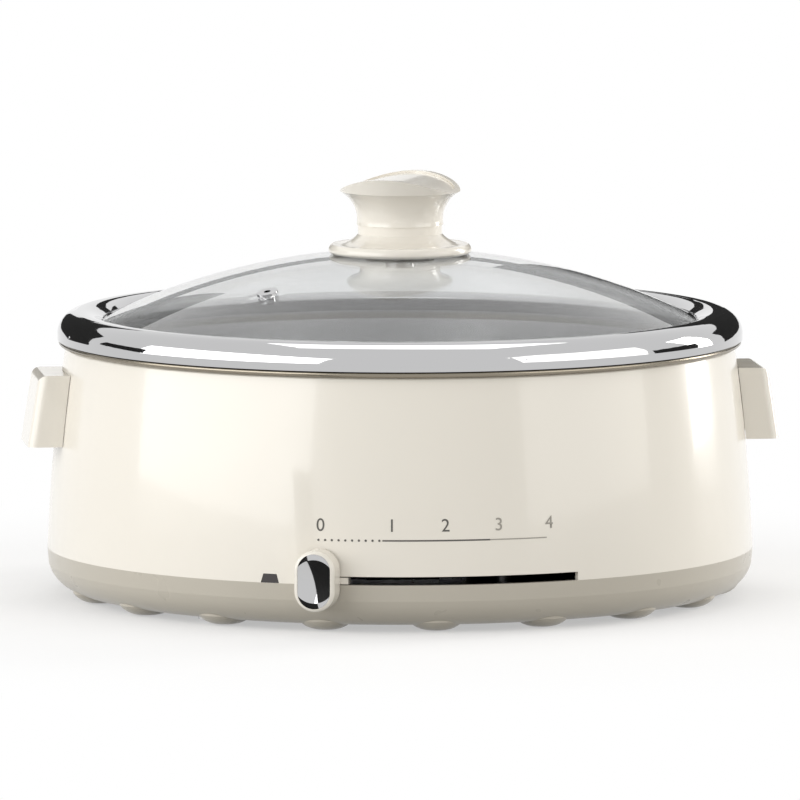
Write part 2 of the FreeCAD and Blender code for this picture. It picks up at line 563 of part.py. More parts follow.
def make_slider():
    """The lever turns about the pot's axis and carries the knob outside the slot."""
    lever_end = "shell_low_r - shell_wall - neck_depth"
    reach = f"sqrt(({lever_end}) ^ 2 - (lever_wide / 2) ^ 2)"
    blade = join("lever_blade", [
        cylinder("lever_eye", "lever_eye_r", "lever_thick", z=LEVER_LOW),
        box("lever_bar", "lever_wide", reach, "lever_thick", "0", f"0 - {reach} / 2", LEVER_LOW),
    ])
    lever = cut("slider_lever", blade, [
        cylinder("lever_bore", "spindle_r + skin_gap", "lever_thick", z=LEVER_LOW)])
    spindle = cut("thermostat_spindle", join("spindle_blank", [
        cylinder("spindle_shoulder", "shoulder_r", f"{LEVER_LOW} - {HOUSING_TOP} - seat_gap",
                 z=f"{HOUSING_TOP} + seat_gap"),
        cylinder("spindle_pin", "spindle_r",
                 f"{LEVER_LOW} + lever_thick - {HOUSING_TOP} + thermostat_tall / 2 - seat_gap",
                 z=f"{HOUSING_TOP} - thermostat_tall / 2 + seat_gap"),
    ]), [cylinder("spindle_thread", "lever_screw_r + screw_gap", "lever_screw_len + 1",
                 z=f"{LEVER_LOW} + lever_thick - lever_screw_len - 1")])
    lever_screw = screw("lever_screw", "lever_screw_r", "lever_screw_len", "lever_eye_r / 2", "0", "0",
                        f"{LEVER_LOW} + lever_thick", (1, 0, 0), "180")
    knob_back = "shell_low_r + slide_gap"
    neck = cut("slider_neck",
               cylinder("neck_sector", knob_back, "lever_thick", "neck_span", z=LEVER_LOW,
                        axis=(0, 0, 1), turn="270 - neck_span / 2 + neck_lead"),
               [cylinder("neck_inside", lever_end, "lever_thick", z=LEVER_LOW)])
    moving = [lever, spindle, lever_screw, neck] + knob_pieces(knob_back)
    for piece in (lever, neck, moving[-2], moving[-1]):
        place(piece, axis=(0, 0, 1), turn="slider_rest")
    return moving


def stadium_block(name, wide, tall, depth, offset):
    """An upright block with round ends about the knob's middle, standing out towards the front."""
    body = doc.addObject("PartDesign::Body", name)
    half, rise = f"({wide}) / 2", f"(({tall}) - ({wide})) / 2"
    sketch = outline(body, name + "_outline", [
        (f"0 - {half}", f"knob_mid_z - {rise}"), (half, f"knob_mid_z - {rise}"),
        (half, f"knob_mid_z + {rise}"), (f"0 - {half}", f"knob_mid_z + {rise}"),
    ], {0: f"-({half} + 0.001)", 2: f"-({half} + 0.001)"}, offset=offset)
    block = body.newObject("PartDesign::Pad", name + "_pad")
    block.Profile = sketch
    bind(block, Length=depth)
    return body, block


def knob_pieces(back):
    """The slider's knob and the dished insert let into its face."""
    blank, block = stadium_block("knob_blank", "knob_wide", "knob_tall", "knob_depth", back)
    doc.recompute()
    face = max(range(len(block.Shape.Faces)), key=lambda i: -block.Shape.Faces[i].CenterOfMass.y)
    front = f"({back} + knob_depth)"
    fillet = blank.newObject("PartDesign::Fillet", "knob_edges")
    fillet.Base = (block, [f"Face{face + 1}"])
    bind(fillet, Radius="knob_round")
    recess, _ = stadium_block("insert_recess", "insert_wide + 2 * skin_gap", "insert_tall + 2 * skin_gap",
                              "insert_thick + 1", f"{front} - insert_thick")
    knob = cut("slider_knob", blank, [recess])
    plate, _ = stadium_block("insert_plate", "insert_wide", "insert_tall", "insert_thick",
                             f"{front} - insert_thick")
    ball = doc.addObject("Part::Sphere", "insert_ball")
    bind(ball, Radius="insert_dish_r")
    place(ball, y=f"0 - ({front} - insert_dish + insert_dish_r)", z="knob_mid_z")
    return [knob, cut("slider_insert", plate, [ball])]


def make_inlet():
    """The mains inlet in the back wall, with its three pins and the flange that holds it."""
    block = box("inlet_block", "inlet_wide", "inlet_deep", "inlet_tall",
                "0", "pad_y - inlet_deep / 2", "inlet_z - inlet_tall / 2")
    flange = box("inlet_flange", "flange_wide", "flange_thick", "flange_tall",
                 "0", "pad_y + flange_thick / 2", "inlet_z - flange_tall / 2")
    mouth = box("inlet_mouth", "mouth_wide", "mouth_deep + flange_thick", "mouth_tall",
                "0", "pad_y + (flange_thick - mouth_deep) / 2", "inlet_z - mouth_tall / 2")
    tools = [mouth]
    pins = []
    for i, side in enumerate((-1, 0, 1), start=1):
        where = dict(x=f"{side} * pin_step", y="pad_y - mouth_deep + pin_len", z="inlet_z",
                     axis=(1, 0, 0), turn="90")
        length = "pin_len + inlet_deep - mouth_deep + terminal_len"
        pins.append(cylinder(f"inlet_pin_{i}", "pin_r", length, **where))
        tools.append(cylinder(f"pin_bore_{i}", "pin_r + skin_gap", length, **where))
    for side in (-1, 1):
        tools.append(cylinder(f"flange_bore_{side}", "inlet_screw_r + screw_gap", "flange_thick",
                              x=f"{side} * inlet_screw_x", y="pad_y + flange_thick", z="inlet_z",
                              axis=(1, 0, 0), turn="90"))
    return [cut("inlet_socket", join("inlet_body", [block, flange]), tools)] + pins


def make_lamp():
    """The lamp's lens fills its window, and the lamp stands behind it on the floor."""
    pane = lens("indicator_lens", "shell_low_r - lens_inset - lens_thick", "lens_thick")
    x, y = polar("base_floor_r - lamp_r - 2 - seat_gap", "window_angle")
    stand = cylinder("lamp_stand", "lamp_r + 1", f"seam_z - {FLOOR}", x=x, y=y, z=FLOOR)
    bulb = join("indicator_lamp", [
        cylinder("lamp_tube", "lamp_r", "lamp_tall", x=x, y=y, z="seam_z"),
        place(bind(doc.addObject("Part::Sphere", "lamp_tip"), Radius="lamp_r"),
              x, y, "seam_z + lamp_tall"),
    ])
    return [pane, stand, bulb]


def lead(name, points, radius, bend):
    """An internal lead: straight runs joined by tangent arcs, swept with a round section."""
    spots = [FreeCAD.Vector(*(number(value) for value in point)) for point in points]
    edges = []
    start = spots[0]
    for a, b, c in zip(spots, spots[1:], spots[2:]):
        turn = (b - a).getAngle(c - b)
        reach = bend * math.tan(turn / 2)
        enter = b + (a - b).normalize() * reach
        leave = b + (c - b).normalize() * reach
        middle = b + ((a - b).normalize() + (c - b).normalize()).normalize() * (
            bend / math.cos(turn / 2) - bend)
        edges += [Part.LineSegment(start, enter).toShape(), Part.Arc(enter, middle, leave).toShape()]
        start = leave
    edges.append(Part.LineSegment(start, spots[-1]).toShape())
    path = Part.Wire(edges)
    disc = Part.Wire(Part.Circle(spots[0], spots[1] - spots[0], radius).toShape())
    item = doc.addObject("Part::Feature", name)
    item.Shape = path.makePipeShell([disc], True, True)
    print(name, "bend", bend, "volume error",
          round(item.Shape.Volume / (math.pi * radius ** 2 * path.Length) - 1, 5))
    return item


def make_leads():
    """The leads from the inlet's pins to the thermostat, the heater and the shield."""
    radius, bend = number("lead_r"), number("lead_bend")
    back = "pad_y - inlet_deep - terminal_len"
    drop = f"{back} - 2 * lead_bend"
    low = f"{FLOOR} + bracket_thick + lead_r + seat_gap"
    shield_y = "shield_r + skin_gap"
    shield_z = f"{SHIELD_TOP} + shield_lip / 2"
    foot_z = f"{PLATE_LOW} - tube_r - terminal_len"
    live_x, neutral_x = "tube_ring_r * cos(tube_from)", "tube_ring_r * cos(tube_from + tube_sweep)"
    tip_y = "tube_ring_r * sin(tube_from)"
    return [
        lead("live_lead", [
            ("0 - pin_step", back, "inlet_z"), ("0 - pin_step", drop, "inlet_z"),
            ("0 - pin_step", drop, low), ("0 - pin_step", "thermostat_y / 2", low)], radius, bend),
        lead("earth_lead", [
            ("0", back, "inlet_z"), ("0", drop, "inlet_z"),
            ("0", f"{drop} - 2 * lead_bend", shield_z), ("0", shield_y, shield_z)], radius, bend),
        lead("neutral_lead", [
            ("pin_step", back, "inlet_z"), ("pin_step", drop, "inlet_z"), ("pin_step", drop, low),
            (neutral_x, f"{drop} - 3 * lead_bend", low), (neutral_x, tip_y, low),
            (neutral_x, tip_y, foot_z)], radius, bend),
        lead("switched_lead", [
            ("0 - thermostat_x / 2", "thermostat_y / 4", low), (live_x, "thermostat_y / 4", low),
            (live_x, tip_y, low), (live_x, tip_y, foot_z)], radius, bend),
    ]


def parts():
    made = [make_upper_shell(), make_base_shell(), make_handle("right_handle", "0"),
            make_handle("left_handle", "180")]
    made += make_screws() + make_heater() + make_thermostat() + make_inlet() + make_lamp()
    made += make_leads() + [make_pot()] + make_lid() + make_lid_knob() + make_slider()
    return made


def write(pieces):
    """Check every object, then write one file per piece."""
    doc.recompute()
    failed = [item.Name for item in doc.Objects if {"Invalid", "Error"} & set(item.State)]
    if failed:
        raise RuntimeError(f"these failed: {failed}")
    os.makedirs("parts", exist_ok=True)
    for piece in pieces:
        shape = piece.Shape
        if shape.isNull() or not shape.isValid() or not shape.Solids:
            raise RuntimeError(f"{piece.Label} is not a valid solid")
        box_ = shape.BoundBox
        print(f"{piece.Label}: {len(shape.Solids)} solid, {shape.Volume / 1000:.2f} cm3, "
              f"x {box_.XMin:.1f}..{box_.XMax:.1f}, y {box_.YMin:.1f}..{box_.YMax:.1f}, "
              f"z {box_.ZMin:.1f}..{box_.ZMax:.1f}")
        shape.exportStep(f"parts/{piece.Label}.step")


write(parts())
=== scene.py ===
# %% [markdown]
# # An electric hot pot in a white studio
# The solids of the pot come from its frame, already in metres and in place.
# We never move them: we give each one a finish, add the printed scale, and light the whole.

# %% Load the frame
import math
import bpy
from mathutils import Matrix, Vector


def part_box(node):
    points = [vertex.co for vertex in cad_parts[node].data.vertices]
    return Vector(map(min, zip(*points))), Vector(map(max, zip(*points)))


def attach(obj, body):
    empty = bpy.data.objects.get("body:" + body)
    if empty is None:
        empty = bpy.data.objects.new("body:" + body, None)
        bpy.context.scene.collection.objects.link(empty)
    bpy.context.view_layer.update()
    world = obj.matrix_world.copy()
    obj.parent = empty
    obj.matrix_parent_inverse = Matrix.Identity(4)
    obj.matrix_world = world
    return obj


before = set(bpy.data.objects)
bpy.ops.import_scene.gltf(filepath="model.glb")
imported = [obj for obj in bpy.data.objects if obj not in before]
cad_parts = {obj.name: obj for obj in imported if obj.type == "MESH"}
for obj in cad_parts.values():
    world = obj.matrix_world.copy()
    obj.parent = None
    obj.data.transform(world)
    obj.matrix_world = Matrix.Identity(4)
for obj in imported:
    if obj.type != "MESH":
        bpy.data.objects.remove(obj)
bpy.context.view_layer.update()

print("pieces in the frame:", len(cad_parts))

# %% [markdown]
# ## Reading sizes from the frame
# A size that the solids already hold is measured from them, so that a print or a light
# still sits right when the solids change.

# %% Measures taken from the solids
base_high = Vector(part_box("base_shell")[1])
shell_radius = base_high.x
rim_top = Vector(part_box("inner_pot")[1]).z
print("shell radius:", round(shell_radius, 4), "rim height:", round(rim_top, 4))

# %% [markdown]
# ## A helper for node materials
# A finish is a small graph of nodes. One helper makes the material and its main shader,
# and another links two nodes, so that each finish below reads as a short recipe.

# %% Material helpers
def new_finish(name, colour, rough, metal=0.0):
    material = bpy.data.materials.new(name)
    material.use_nodes = True
    shader = material.node_tree.nodes["Principled BSDF"]
    shader.inputs["Base Color"].default_value = (*colour, 1.0)
    shader.inputs["Roughness"].default_value = rough
    shader.inputs["Metallic"].default_value = metal
    return material, shader


def add_node(material, kind, **settings):
    node = material.node_tree.nodes.new(kind)
    for name, value in settings.items():
        if name in node.inputs:
            node.inputs[name].default_value = value
        else:
            setattr(node, name, value)
    return node


def join_sockets(material, source, target):
    material.node_tree.links.new(source, target)


def object_noise(material, scale, detail=2.0):
    """Noise laid in the object's own coordinates, which are metres in the shared frame."""
    place = add_node(material, "ShaderNodeTexCoord")
    noise = add_node(material, "ShaderNodeTexNoise", Scale=scale, Detail=detail)
    join_sockets(material, place.outputs["Object"], noise.inputs["Vector"])
    return noise


def add_bump(material, shader, noise, strength, distance):
    bump = add_node(material, "ShaderNodeBump", Strength=strength, Distance=distance)
    join_sockets(material, noise.outputs["Fac"], bump.inputs["Height"])
    join_sockets(material, bump.outputs["Normal"], shader.inputs["Normal"])


def blend_by_noise(material, noise, target, low, high, start=0.3, stop=0.7):
    """Run a colour, or a grey for roughness, from low to high over the noise."""
    ramp = add_node(material, "ShaderNodeValToRGB")
    ramp.color_ramp.elements[0].position = start
    ramp.color_ramp.elements[1].position = stop
    ramp.color_ramp.elements[0].color = (*low, 1.0)
    ramp.color_ramp.elements[1].color = (*high, 1.0)
    join_sockets(material, noise.outputs["Fac"], ramp.inputs["Fac"])
    join_sockets(material, ramp.outputs["Color"], target)


def grey(value):
    return (value, value, value)


# %% [markdown]
# ## Glossy moulded plastic
# The body is injection-moulded and polished. Such a shell could be one flat colour, but a real
# one has faint clouding in its tone and an orange-peel ripple that softens reflections.
# Two noises at different scales give both, and a clear coat gives the crisp highlight.

# %% Moulded plastic finish
CLOUD_SCALE, SHEEN_SCALE, PEEL_SCALE = 14, 60, 420
PEEL_DEPTH = 0.0004
SHEEN_LEAST, SHEEN_MOST = 0.9, 1.15
COAT_ROUGHNESS = 0.06


def moulded_plastic(name, colour, rough=0.2, coat=0.5, cloud=0.008, peel=0.03):
    material, shader = new_finish(name, colour, rough)
    darker = tuple(part * (1 - cloud) for part in colour)
    lighter = tuple(min(part * (1 + cloud), 1.0) for part in colour)
    blend_by_noise(material, object_noise(material, CLOUD_SCALE), shader.inputs["Base Color"],
                   darker, lighter)
    blend_by_noise(material, object_noise(material, SHEEN_SCALE), shader.inputs["Roughness"],
                   grey(rough * SHEEN_LEAST), grey(rough * SHEEN_MOST))
    add_bump(material, shader, object_noise(material, PEEL_SCALE, 1), peel, PEEL_DEPTH)
    shader.inputs["Coat Weight"].default_value = coat
    shader.inputs["Coat Roughness"].default_value = COAT_ROUGHNESS
    return material


cream = moulded_plastic("cream_plastic", (0.84, 0.80, 0.72))
warm_grey = moulded_plastic("warm_grey_plastic", (0.51, 0.475, 0.405), rough=0.3, coat=0.25)
black_plastic = moulded_plastic("black_plastic", (0.012, 0.012, 0.013), rough=0.4, coat=0.0)
lens_plastic = moulded_plastic("smoked_lens", (0.014, 0.008, 0.008), rough=0.12, coat=0.8)
lead_sleeve = moulded_plastic("lead_sleeve", (0.42, 0.05, 0.04), rough=0.45, coat=0.0)
print("plastics:", cream.name, warm_grey.name, black_plastic.name)

# %% [markdown]
# ## Metals
# Polished chrome takes its whole look from what it mirrors, so its graph is small: a bright
# metal with traces of wiping in its roughness. Brushed steel and cast aluminium are rougher,
# and a fine bump breaks up what they mirror.

# %% Metal finishes
WIPE_SCALE, WIPE_DETAIL = 9, 4
WIPE_LEAST, WIPE_MOST = 0.6, 1.6
BRUSH_DETAIL, BRUSH_STRENGTH, BRUSH_DEPTH = 3, 0.12, 0.0003
BRUSH_LEAST, BRUSH_MOST = 0.8, 1.3


def polished_metal(name, colour, rough):
    material, shader = new_finish(name, colour, rough, metal=1.0)
    noise = object_noise(material, WIPE_SCALE, WIPE_DETAIL)
    blend_by_noise(material, noise, shader.inputs["Roughness"],
                   grey(rough * WIPE_LEAST), grey(rough * WIPE_MOST))
    return material


def brushed_metal(name, colour, rough, scale=300):
    material, shader = new_finish(name, colour, rough, metal=1.0)
    noise = object_noise(material, scale, BRUSH_DETAIL)
    blend_by_noise(material, noise, shader.inputs["Roughness"],
                   grey(rough * BRUSH_LEAST), grey(rough * BRUSH_MOST))
    add_bump(material, shader, noise, BRUSH_STRENGTH, BRUSH_DEPTH)
    return material


chrome = polished_metal("polished_chrome", (0.54, 0.54, 0.545), 0.035)
steel = brushed_metal("brushed_steel", (0.62, 0.62, 0.63), 0.3)
aluminium = brushed_metal("cast_aluminium", (0.7, 0.7, 0.7), 0.45, 120)
brass = brushed_metal("plated_brass", (0.78, 0.6, 0.3), 0.25)
print("metals:", chrome.name, steel.name, aluminium.name, brass.name)

# %% [markdown]
# ## The pot
# The pot is pressed aluminium. Its inside is brushed round and round and stays bright, and its
# flat rim is given painted shade: a dark tone for the shadow gap under the lid's ring, seen as a
# thin
# dark line. One material does both: a test of the height picks the painted shade above a line.

# %% Pot finish
POT_BRUSHED = (0.66, 0.66, 0.665, 1)
# painted shade: this dark rim tone stands in for the shadow in the gap under the lid's ring
RIM_PAINTED_SHADE = (0.27, 0.24, 0.19, 1)
RIM_DEPTH = 0.003
POT_ROUGHNESS = 0.22
POT_RINGS, POT_RING_WAVER = 160, 1.5
POT_RING_STRENGTH, POT_RING_DEPTH = 0.05, 0.0002


def pot_metal(shade_from):
    material, shader = new_finish("pot_metal", grey(0.5), POT_ROUGHNESS, metal=1.0)
    place = add_node(material, "ShaderNodeTexCoord")
    split = add_node(material, "ShaderNodeSeparateXYZ")
    join_sockets(material, place.outputs["Object"], split.inputs["Vector"])
    # above this height the pot gets the painted shade of the gap under the lid's ring
    above = add_node(material, "ShaderNodeMath", operation="GREATER_THAN")
    above.inputs[1].default_value = shade_from
    join_sockets(material, split.outputs["Z"], above.inputs[0])
    tone = add_node(material, "ShaderNodeMix", data_type="RGBA")
    tone.inputs["A"].default_value = POT_BRUSHED
    tone.inputs["B"].default_value = RIM_PAINTED_SHADE
    join_sockets(material, above.outputs[0], tone.inputs["Factor"])
    join_sockets(material, tone.outputs["Result"], shader.inputs["Base Color"])
    rings = add_node(material, "ShaderNodeTexWave", wave_type="RINGS", Scale=POT_RINGS,
                     Distortion=POT_RING_WAVER)
    rings.rings_direction = "Z"
    join_sockets(material, place.outputs["Object"], rings.inputs["Vector"])
    bump = add_node(material, "ShaderNodeBump", Strength=POT_RING_STRENGTH,
                    Distance=POT_RING_DEPTH)
    join_sockets(material, rings.outputs["Fac"], bump.inputs["Height"])
    join_sockets(material, bump.outputs["Normal"], shader.inputs["Normal"])
    return material


pot_finish = pot_metal(rim_top - RIM_DEPTH)
print("pot finish:", pot_finish.name)

# %% [markdown]
# ## Tempered glass
# The lid is thick clear glass. The solid has both of its faces, so real refraction
# works: full transmission with glass's own index. Very faint smears in the roughness stop
# it from looking like empty air. The gasket round it is soft matt silicone.

# %% Glass finish
GLASS_INDEX = 1.47
SMEAR_SCALE, SMEAR_DETAIL, SMEAR_ROUGHNESS = 22, 3, 0.02
glass, glass_shader = new_finish("clear_glass", (0.89, 0.9, 0.9), 0.0)
glass_shader.inputs["Transmission Weight"].default_value = 1.0
glass_shader.inputs["IOR"].default_value = GLASS_INDEX
smears = object_noise(glass, SMEAR_SCALE, SMEAR_DETAIL)
blend_by_noise(glass, smears, glass_shader.inputs["Roughness"], grey(0.0), grey(SMEAR_ROUGHNESS))
rubber = moulded_plastic("soft_silicone", (0.03, 0.03, 0.032), rough=0.6, coat=0.0, peel=0.15)
print("clear and soft:", glass.name, rubber.name)

# %% [markdown]
# ## Giving each solid its finish
# The frame's names say what each solid is, so a list from finish to name beginnings is
# enough. Whatever no list names is plain steel: screws, posts, brackets and the lever.

# %% Assign finishes
FINISHES = {
    cream: ("upper_shell", "left_handle", "right_handle", "knob_base", "knob_cup",
            "slider_knob", "slider_neck"),
    warm_grey: ("base_shell",),
    chrome: ("lid_ring", "slider_insert", "vent_eyelet"),
    pot_finish: ("inner_pot",),
    glass: ("lid_glass",),
    rubber: ("lid_gasket", "knob_washer"),
    aluminium: ("heater_plate",),
    black_plastic: ("thermostat_housing", "inlet_socket", "thermal_cutout", "lamp_stand"),
    lens_plastic: ("indicator_lens", "indicator_lamp"),
    brass: ("inlet_pin",),
    lead_sleeve: ("live_lead", "earth_lead", "neutral_lead", "switched_lead"),
}


def finish_for(node_name):
    for material, names in FINISHES.items():
        if node_name.startswith(names) and "screw" not in node_name:
            return material
    return steel


for node_name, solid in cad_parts.items():
    material = finish_for(node_name)
    if not solid.material_slots:
        solid.data.materials.append(material)
    for slot in solid.material_slots:
        slot.material = material
print("finishes given:", len(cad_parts))

# %% [markdown]
# ## The printed scale
# The slider's scale is pad-printed on the curved shell: a row of dots, a solid line and
# plain numbers. A decal image would do, but real ink is a thin film, so each mark is drawn
# flat as a mesh and wrapped onto the shell by turning its sideways place into an angle.

# %% Wrap flat marks onto the shell
INK_LIFT = 0.00012
LOOK_FROM = 0.3
ink = moulded_plastic("grey_ink", (0.10, 0.095, 0.085), rough=0.5, coat=0.0, peel=0.02)
ink_faint = moulded_plastic("faded_ink", (0.34, 0.32, 0.28), rough=0.5, coat=0.0, peel=0.02)


def shell_distance(angle, height):
    """How far the shell's outer face is from the axis, found by looking in from outside."""
    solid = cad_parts["upper_shell"]
    way = Vector((math.sin(angle), -math.cos(angle), 0))
    start = way * LOOK_FROM + Vector((0, 0, height))
    hit, place, _, _ = solid.ray_cast(start, -way)
    return math.hypot(place.x, place.y) if hit else shell_radius


def wrap_on_shell(piece, middle_angle):
    """Turn flat x into an angle round the shell and flat y into height."""
    for vertex in piece.data.vertices:
        angle = middle_angle + vertex.co.x / shell_radius
        reach = shell_distance(angle, vertex.co.y) + INK_LIFT
        vertex.co = (math.sin(angle) * reach, -math.cos(angle) * reach, vertex.co.y)


def flat_piece(name, points, faces, material):
    mesh = bpy.data.meshes.new(name)
    mesh.from_pydata([(x, y, 0) for x, y in points], [], faces)
    piece = bpy.data.objects.new(name, mesh)
    bpy.context.collection.objects.link(piece)
    mesh.materials.append(material)
    return piece


def settle(piece, body="base"):
    for polygon in piece.data.polygons:
        polygon.use_smooth = True
    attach(piece, body)


print("inks:", ink.name, ink_faint.name)

# %% [markdown]
# ## Dots and line
# The scale starts as ten small dots beside the off end and goes on as a fine line under the
# stops. The ink fades towards its far end, so the line is laid in two lengths of two tones.

# %% The row of dots and the line
LINE_Z = 0.0431
DOT_STEP = math.radians(1.09)
DOT_START, DOT_COUNT = math.radians(-19.6), 10
DOT_RADIUS, DOT_CORNERS = 0.00055, 12
for i in range(DOT_COUNT):
    turns = [t * math.tau / DOT_CORNERS for t in range(DOT_CORNERS)]
    ring = [(DOT_RADIUS * math.cos(turn), LINE_Z + DOT_RADIUS * math.sin(turn)) for turn in turns]
    dot = flat_piece(f"scale_dot_{i + 1}", ring, [tuple(range(DOT_CORNERS))], ink)
    wrap_on_shell(dot, DOT_START + i * DOT_STEP)
    settle(dot)


def scale_line(name, start, stop, thick, material, steps):
    turn = math.radians(stop - start) / steps
    points, faces = [], []
    for i in range(steps + 1):
        x = turn * i * shell_radius
        points += [(x, LINE_Z - thick / 2), (x, LINE_Z + thick / 2)]
        if i:
            faces.append((2 * i - 2, 2 * i, 2 * i + 1, 2 * i - 1))
    line = flat_piece(name, points, faces, material)
    wrap_on_shell(line, math.radians(start))
    settle(line)


LINE_FROM, LINE_FADES, LINE_TO = -9.3, 8.0, 17.6
scale_line("scale_line_dark", LINE_FROM, LINE_FADES, thick=0.0007, material=ink, steps=28)
scale_line("scale_line_faint", LINE_FADES, LINE_TO, thick=0.0005, material=ink_faint, steps=18)
print("scale marks:", DOT_COUNT + 2)

# %% [markdown]
# ## Numbers
# Each stop of the slider has a plain number. A text object gives clean outlines, and it is
# turned into a mesh and wrapped like the rest. The last two are fainter, as the line is there.

# %% Numbers over the scale
NUMBER_TALL = 0.0062
FONT_SIZE = NUMBER_TALL * 1.35
NUMBER_Z = 0.0472
STOPS = (("0", -19.3), ("1", -7.8), ("2", 0.8), ("3", 9.5), ("4", 18.1))


def printed_number(word, angle, material):
    curve = bpy.data.curves.new("number_" + word, "FONT")
    curve.body = word
    curve.size = FONT_SIZE
    curve.align_x = "CENTER"
    draft = bpy.data.objects.new("draft_" + word, curve)
    bpy.context.collection.objects.link(draft)
    bpy.context.view_layer.update()
    mesh = bpy.data.meshes.new_from_object(draft)
    bpy.data.objects.remove(draft)
    piece = bpy.data.objects.new("scale_number_" + word, mesh)
    bpy.context.collection.objects.link(piece)
    for vertex in mesh.vertices:
        vertex.co.y += NUMBER_Z
    mesh.materials.clear()
    mesh.materials.append(material)
    wrap_on_shell(piece, math.radians(angle))
    settle(piece)


for word, angle in STOPS:
    printed_number(word, angle, ink_faint if word in "34" else ink)
print("numbers:", len(STOPS))

# %% [markdown]
# ## Floor and background
# The pot stands on a pale floor that keeps its soft shadow, and beyond it all is plain white.
# A large floor would show a grey horizon, so this one fades out with its distance from the pot.
# What the camera sees of it is nearly white, while the pot gets less light thrown back from it.

# %% Studio floor
FLOOR_HALF = 3.0
FLOOR_DROP = 0.0005
floor_corners = [(-FLOOR_HALF, -FLOOR_HALF, 0), (FLOOR_HALF, -FLOOR_HALF, 0),
                 (FLOOR_HALF, FLOOR_HALF, 0), (-FLOOR_HALF, FLOOR_HALF, 0)]
floor_mesh = bpy.data.meshes.new("floor")
floor_mesh.from_pydata(floor_corners, [], [(0, 1, 2, 3)])
floor = bpy.data.objects.new("floor", floor_mesh)
floor.location.z = -FLOOR_DROP
bpy.context.collection.objects.link(floor)
floor_finish, floor_shader = new_finish("pale_floor", grey(0.9), 0.9)
floor_mesh.materials.append(floor_finish)
print("floor:", 2 * FLOOR_HALF, "m across")

# %% Asking what kind of ray it is
def ray_asks(tree, *questions):
    """One where a ray is any of the kinds asked for, and nought elsewhere."""
    rays = tree.nodes.new("ShaderNodeLightPath")
    answer = rays.outputs[questions[0]]
    for question in questions[1:]:
        either = tree.nodes.new("ShaderNodeMath")
        either.operation = "MAXIMUM"
        tree.links.new(answer, either.inputs[0])
        tree.links.new(rays.outputs[question], either.inputs[1])
        answer = either.outputs[0]
    return answer


# %% [markdown]
# ## Fading the floor
# How far a spot is from the pot decides how much of it is plain white. Even right under the pot
# some white is mixed in, which lifts the shadow. Only rays that are seen, straight or by way of
# metal or glass, get the bright floor, and the light that bounces back to the pot comes from a
# duller one.

# %% The floor's fading and its two brightnesses
FADE_FROM, FADE_TO = 0.17, 0.42
SHADOW_LIFT = 0.45
FLOOR_DULL = (0.5, 0.5, 0.49, 1)
FLOOR_BRIGHT = (0.9, 0.9, 0.9, 1)
SEEN_RAYS = ("Is Camera Ray", "Is Glossy Ray", "Is Transmission Ray")
floor_tree = floor_finish.node_tree
seen = ray_asks(floor_tree, *SEEN_RAYS)
floor_tone = add_node(floor_finish, "ShaderNodeMix", data_type="RGBA")
floor_tone.inputs["A"].default_value = FLOOR_DULL
floor_tone.inputs["B"].default_value = FLOOR_BRIGHT
join_sockets(floor_finish, seen, floor_tone.inputs["Factor"])
join_sockets(floor_finish, floor_tone.outputs["Result"], floor_shader.inputs["Base Color"])
floor_place = add_node(floor_finish, "ShaderNodeTexCoord")
floor_reach = add_node(floor_finish, "ShaderNodeVectorMath", operation="LENGTH")
join_sockets(floor_finish, floor_place.outputs["Object"], floor_reach.inputs[0])
fade = add_node(floor_finish, "ShaderNodeMapRange", interpolation_type="SMOOTHSTEP")
fade.inputs["From Min"].default_value = FADE_FROM
fade.inputs["From Max"].default_value = FADE_TO
fade.inputs["To Min"].default_value = SHADOW_LIFT
join_sockets(floor_finish, floor_reach.outputs["Value"], fade.inputs["Value"])
plain_white = add_node(floor_finish, "ShaderNodeEmission", Strength=1.0)
faded = add_node(floor_finish, "ShaderNodeMath", operation="MULTIPLY")
join_sockets(floor_finish, fade.outputs["Result"], faded.inputs[0])
join_sockets(floor_finish, seen, faded.inputs[1])
floor_mix = add_node(floor_finish, "ShaderNodeMixShader")
join_sockets(floor_finish, faded.outputs[0], floor_mix.inputs["Fac"])
join_sockets(floor_finish, floor_shader.outputs["BSDF"], floor_mix.inputs[1])
join_sockets(floor_finish, plain_white.outputs["Emission"], floor_mix.inputs[2])
join_sockets(floor_finish, floor_mix.outputs["Shader"],
             floor_tree.nodes["Material Output"].inputs["Surface"])
print("floor fades from", FADE_FROM, "to", FADE_TO, "m")

# %% [markdown]
# ## World light
# A pot in a white studio gets soft light from all round. The world gives that at half strength,
# and is plain white wherever the camera, the chrome or the glass looks straight at it.

# %% World light
SKY_COLOUR = (1.0, 0.985, 0.96, 1)
SKY_STRENGTH, WHITE_STRENGTH = 0.5, 1.0
world = bpy.data.worlds.new("studio")
bpy.context.scene.world = world
world.use_nodes = True
world_tree = world.node_tree
sky = world_tree.nodes["Background"]
sky.inputs["Color"].default_value = SKY_COLOUR
sky.inputs["Strength"].default_value = SKY_STRENGTH
white = world_tree.nodes.new("ShaderNodeBackground")
white.inputs["Color"].default_value = (1, 1, 1, 1)
white.inputs["Strength"].default_value = WHITE_STRENGTH
choose = world_tree.nodes.new("ShaderNodeMixShader")
world_tree.links.new(ray_asks(world_tree, *SEEN_RAYS), choose.inputs["Fac"])
world_tree.links.new(sky.outputs["Background"], choose.inputs[1])
world_tree.links.new(white.outputs["Background"], choose.inputs[2])
world_tree.links.new(choose.outputs["Shader"], world_tree.nodes["World Output"].inputs["Surface"])
print("world strength:", sky.inputs["Strength"].default_value)

# %% [markdown]
# ## Lamps
# The pot is lit from the far left by a large window, so that its left side is nearly white and
# its middle falls off to a warmer tone. A weaker panel on the right lifts that side again, and a
# narrow window behind it draws a thin bright streak near the right edge. A dim panel overhead
# lights the lid from above.

# %% Area lamps
LAMP_AIM = Vector((0, 0, 0.09))
COOL_WHITE, WARM_WHITE = (1, 1, 1), (1.0, 0.98, 0.95)


